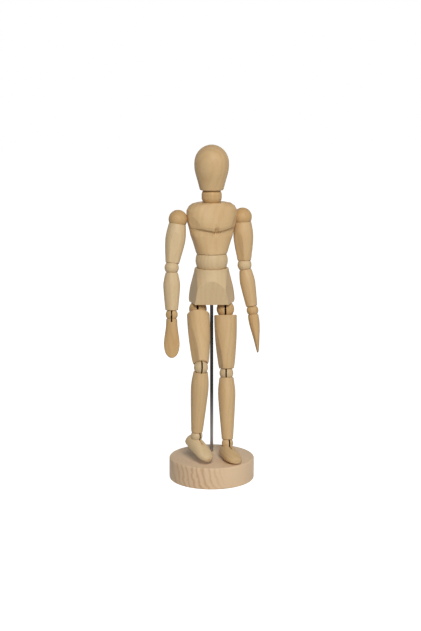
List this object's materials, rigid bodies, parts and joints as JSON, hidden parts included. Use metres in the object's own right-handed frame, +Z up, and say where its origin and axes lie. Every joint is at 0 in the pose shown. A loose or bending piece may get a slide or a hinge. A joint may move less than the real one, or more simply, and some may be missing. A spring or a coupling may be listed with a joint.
{
  "type": "artist mannequin",
  "caption": "Jointed wooden artist mannequin on a rod and round base; balls and hidden springs let head, torso, arms and legs be posed.",
  "frame": {"origin": "centre of the base's underside, on the surface it stands on", "axes": "+Z up; -Y towards the viewer of the picture, the side the figure roughly faces; +X to the viewer's right, the figure's left"},
  "size_m": [0.0859, 0.0768, 0.3],
  "materials": {
    "limb_wood": "satin",
    "ball_wood": "satin",
    "base_wood": "satin",
    "rod_steel": "dark",
    "pin_steel": "plain",
    "spring_steel": "plain"
  },
  "bodies": {
    "rod": {"rod": "rod_steel"},
    "pelvis": {"pelvis": "limb_wood", "pelvis_pin": "pin_steel", "right_hip_spring": "spring_steel", "left_hip_spring": "spring_steel"},
    "waist_spring": {"waist_spring": "spring_steel"},
    "waist_ball": {"waist_ball": "ball_wood"},
    "chest": {"chest": "limb_wood", "chest_waist_pin": "pin_steel", "chest_neck_pin": "pin_steel", "shoulder_spring": "spring_steel"},
    "neck_spring": {"neck_spring": "spring_steel"},
    "neck": {"neck": "ball_wood"},
    "head": {"head": "limb_wood", "head_pin": "pin_steel"},
    "right_shoulder_ball": {"right_shoulder_ball": "ball_wood", "right_shoulder_pin": "pin_steel"},
    "right_upper_arm_spring": {"right_upper_arm_spring": "spring_steel"},
    "right_upper_arm": {"right_upper_arm": "limb_wood"},
    "right_elbow_ball": {"right_elbow_ball": "ball_wood", "right_elbow_pin": "pin_steel"},
    "right_forearm_spring": {"right_forearm_spring": "spring_steel"},
    "right_forearm": {"right_forearm": "limb_wood"},
    "right_hand": {"right_hand": "limb_wood", "right_wrist_pin": "pin_steel"},
    "left_shoulder_ball": {"left_shoulder_ball": "ball_wood", "left_shoulder_pin": "pin_steel"},
    "left_upper_arm_spring": {"left_upper_arm_spring": "spring_steel"},
    "left_upper_arm": {"left_upper_arm": "limb_wood"},
    "left_elbow_ball": {"left_elbow_ball": "ball_wood", "left_elbow_pin": "pin_steel"},
    "left_forearm_spring": {"left_forearm_spring": "spring_steel"},
    "left_forearm": {"left_forearm": "limb_wood"},
    "left_hand": {"left_hand": "limb_wood", "left_wrist_pin": "pin_steel"},
    "right_hip_ball": {"right_hip_ball": "ball_wood", "right_hip_pin": "pin_steel"},
    "right_thigh_spring": {"right_thigh_spring": "spring_steel"},
    "right_thigh": {"right_thigh": "limb_wood"},
    "right_knee_ball": {"right_knee_ball": "ball_wood", "right_knee_pin": "pin_steel"},
    "right_calf_spring": {"right_calf_spring": "spring_steel"},
    "right_calf": {"right_calf": "limb_wood"},
    "right_foot": {"right_foot": "limb_wood", "right_ankle_pin": "pin_steel"},
    "left_hip_ball": {"left_hip_ball": "ball_wood", "left_hip_pin": "pin_steel"},
    "left_thigh_spring": {"left_thigh_spring": "spring_steel"},
    "left_thigh": {"left_thigh": "limb_wood"},
    "left_knee_ball": {"left_knee_ball": "ball_wood", "left_knee_pin": "pin_steel"},
    "left_calf_spring": {"left_calf_spring": "spring_steel"},
    "left_calf": {"left_calf": "limb_wood"},
    "left_foot": {"left_foot": "limb_wood", "left_ankle_pin": "pin_steel"},
    "base": {"base": "base_wood"}
  },
  "joints": [
    {"name": "figure_turn", "type": "hinge", "parent": "base", "child": "rod", "pos_m": [0, 0.01535, 0], "axis": [0, 0, 1], "continuous": true},
    {"name": "figure_lift", "type": "slide", "parent": "rod", "child": "pelvis", "axis": [0, 0, 1], "range_m": [0, 0.008]},
    {"name": "waist_tilt", "type": "hinge", "parent": "pelvis", "child": "waist_spring", "pos_m": [0, 0.01535, 0.1971], "axis": [0, 1, 0], "range_deg": [-6, 8.5], "deforming": ["waist_spring"]},
    {"name": "waist_bend", "type": "hinge", "parent": "waist_spring", "child": "waist_ball", "pos_m": [0, 0.01535, 0.1971], "axis": [1, 0, 0], "range_deg": [-22, 30]},
    {"name": "waist_turn", "type": "hinge", "parent": "waist_ball", "child": "chest", "pos_m": [0, 0.01535, 0.1971], "axis": [0, 0, 1], "range_deg": [-80, 80]},
    {"name": "neck_tilt", "type": "hinge", "parent": "chest", "child": "neck_spring", "pos_m": [0, 0.01535, 0.2546], "axis": [-0.2924, 0.9563, 0], "range_deg": [-28, 28], "deforming": ["neck_spring"]},
    {"name": "neck_nod", "type": "hinge", "parent": "neck_spring", "child": "neck", "pos_m": [0, 0.01535, 0.2546], "axis": [0.9563, 0.2924, 0], "range_deg": [-28, 32]},
    {"name": "head_turn", "type": "hinge", "parent": "neck", "child": "head", "pos_m": [0, 0.01535, 0.2546], "axis": [0, 0, 1], "range_deg": [-90, 90]},
    {"name": "right_shoulder_swing", "type": "hinge", "parent": "chest", "child": "right_shoulder_ball", "pos_m": [-0.02981, 0.0099, 0.2346], "axis": [-0.9563, -0.2924, 0], "range_deg": [-85, 165], "deforming": ["shoulder_spring"]},
    {"name": "left_shoulder_swing", "type": "hinge", "parent": "chest", "child": "left_shoulder_ball", "pos_m": [0.02776, 0.0275, 0.2346], "axis": [-0.9563, -0.2924, 0], "range_deg": [-85, 52], "deforming": ["shoulder_spring"]},
    {"name": "right_arm_raise", "type": "hinge", "parent": "right_shoulder_ball", "child": "right_upper_arm_spring", "pos_m": [-0.02981, 0.0099, 0.2346], "axis": [-0.2885, 0.9437, -0.1616], "range_deg": [-3.5, 85]},
    {"name": "left_arm_raise", "type": "hinge", "parent": "left_shoulder_ball", "child": "left_upper_arm_spring", "pos_m": [0.02776, 0.0275, 0.2346], "axis": [0.2908, -0.9512, 0.1028], "range_deg": [-3.5, 85]},
    {"name": "right_arm_twist", "type": "hinge", "parent": "right_upper_arm_spring", "child": "right_upper_arm", "pos_m": [-0.02981, 0.0099, 0.2346], "axis": [-0.1295, -0.2057, -0.97], "range_deg": [-85, 85], "deforming": ["right_upper_arm_spring"]},
    {"name": "left_arm_twist", "type": "hinge", "parent": "left_upper_arm_spring", "child": "left_upper_arm", "pos_m": [0.02776, 0.0275, 0.2346], "axis": [-0.0434, 0.0942, 0.9946], "range_deg": [-85, 85], "deforming": ["left_upper_arm_spring"]},
    {"name": "right_elbow_bend", "type": "hinge", "parent": "right_elbow_ball", "child": "right_forearm_spring", "pos_m": [-0.0354, 0.00101, 0.1927], "axis": [0.3701, -0.9176, 0.1452], "range_deg": [-36, 1.5]},
    {"name": "left_elbow_bend", "type": "hinge", "parent": "left_elbow_ball", "child": "left_forearm_spring", "pos_m": [0.02964, 0.02343, 0.19163], "axis": [-0.3429, -0.9365, 0.0737], "range_deg": [-6, 30]},
    {"name": "right_elbow_roll", "type": "hinge", "parent": "right_upper_arm", "child": "right_elbow_ball", "pos_m": [-0.0354, 0.00101, 0.1927], "axis": [0.3701, -0.9176, 0.1452], "range_deg": [-36, 1.5]},
    {"name": "left_elbow_roll", "type": "hinge", "parent": "left_upper_arm", "child": "left_elbow_ball", "pos_m": [0.02964, 0.02343, 0.19163], "axis": [-0.3429, -0.9365, 0.0737], "range_deg": [-6, 30]},
    {"name": "right_wrist_bend", "type": "hinge", "parent": "right_forearm", "child": "right_hand", "pos_m": [-0.03541, -0.00549, 0.15161], "axis": [-1, 0.0048, -0.0006], "range_deg": [-45, 45]},
    {"name": "left_wrist_bend", "type": "hinge", "parent": "left_forearm", "child": "left_hand", "pos_m": [0.03686, 0.01759, 0.15108], "axis": [0.0151, 0.9901, -0.1398], "range_deg": [-45, 28]},
    {"name": "right_leg_spread", "type": "hinge", "parent": "pelvis", "child": "right_hip_ball", "pos_m": [-0.0124, 0.01535, 0.1526], "axis": [0, 1, 0], "range_deg": [-5.5, 16], "deforming": ["right_hip_spring"]},
    {"name": "left_leg_spread", "type": "hinge", "parent": "pelvis", "child": "left_hip_ball", "pos_m": [0.0124, 0.01535, 0.1526], "axis": [0, -1, 0], "range_deg": [-3.5, 26], "deforming": ["left_hip_spring"]},
    {"name": "right_hip_swing", "type": "hinge", "parent": "right_hip_ball", "child": "right_thigh_spring", "pos_m": [-0.0124, 0.01535, 0.1526], "axis": [-0.9979, 0, -0.0645], "range_deg": [-1.5, 23]},
    {"name": "left_hip_swing", "type": "hinge", "parent": "left_hip_ball", "child": "left_thigh_spring", "pos_m": [0.0124, 0.01535, 0.1526], "axis": [-0.9999, 0, -0.0157], "range_deg": [0, 45]},
    {"name": "right_knee_bend", "type": "hinge", "parent": "right_knee_ball", "child": "right_calf_spring", "pos_m": [-0.00943, -0.01923, 0.10663], "axis": [0.9856, 0.1594, -0.0562], "range_deg": [-36, 13]},
    {"name": "left_knee_bend", "type": "hinge", "parent": "left_knee_ball", "child": "left_calf_spring", "pos_m": [0.01329, 0.00436, 0.09607], "axis": [0.9983, -0.0514, 0.0257], "range_deg": [-30, 0]},
    {"name": "right_knee_roll", "type": "hinge", "parent": "right_thigh", "child": "right_knee_ball", "pos_m": [-0.00943, -0.01923, 0.10663], "axis": [0.9856, 0.1594, -0.0562], "range_deg": [-36, 13]},
    {"name": "left_knee_roll", "type": "hinge", "parent": "left_thigh", "child": "left_knee_ball", "pos_m": [0.01329, 0.00436, 0.09607], "axis": [0.9983, -0.0514, 0.0257], "range_deg": [-30, 0]},
    {"name": "right_ankle_bend", "type": "hinge", "parent": "right_calf", "child": "right_foot", "pos_m": [-0.01338, -0.01701, 0.0436], "axis": [0.7526, 0.658, -0.024], "range_deg": [-40, 8]},
    {"name": "left_ankle_bend", "type": "hinge", "parent": "left_calf", "child": "left_foot", "pos_m": [0.01426, -0.0077, 0.03403], "axis": [0.9216, 0.3836, -0.0601], "range_deg": [-40, 1.5]},
    {"name": "right_thigh_twist", "type": "hinge", "parent": "right_thigh_spring", "child": "right_thigh", "pos_m": [-0.0124, 0.01535, 0.1526], "axis": [0.0516, -0.6004, -0.798], "range_deg": [-80, 22], "deforming": ["right_thigh_spring"]},
    {"name": "left_thigh_twist", "type": "hinge", "parent": "left_thigh_spring", "child": "left_thigh", "pos_m": [0.0124, 0.01535, 0.1526], "axis": [-0.0154, 0.1908, 0.9815], "range_deg": [-70, 22], "deforming": ["left_thigh_spring"]},
    {"name": "right_forearm_turn", "type": "hinge", "parent": "right_forearm_spring", "child": "right_forearm", "pos_m": [-0.0354, 0.00101, 0.1927], "axis": [-0.0002, -0.1563, -0.9877], "range_deg": [-85, 85], "deforming": ["right_forearm_spring"]},
    {"name": "left_forearm_turn", "type": "hinge", "parent": "left_forearm_spring", "child": "left_forearm", "pos_m": [0.02964, 0.02343, 0.19163], "axis": [-0.1736, 0.1403, 0.9748], "range_deg": [-85, 85], "deforming": ["left_forearm_spring"]},
    {"name": "right_calf_turn", "type": "hinge", "parent": "right_calf_spring", "child": "right_calf", "pos_m": [-0.00943, -0.01923, 0.10663], "axis": [-0.0626, 0.0352, -0.9974], "range_deg": [-80, 80], "deforming": ["right_calf_spring"]},
    {"name": "left_calf_turn", "type": "hinge", "parent": "left_calf_spring", "child": "left_calf", "pos_m": [0.01329, 0.00436, 0.09607], "axis": [-0.0154, 0.1908, 0.9815], "range_deg": [-70, 22], "deforming": ["left_calf_spring"]}
  ]
}
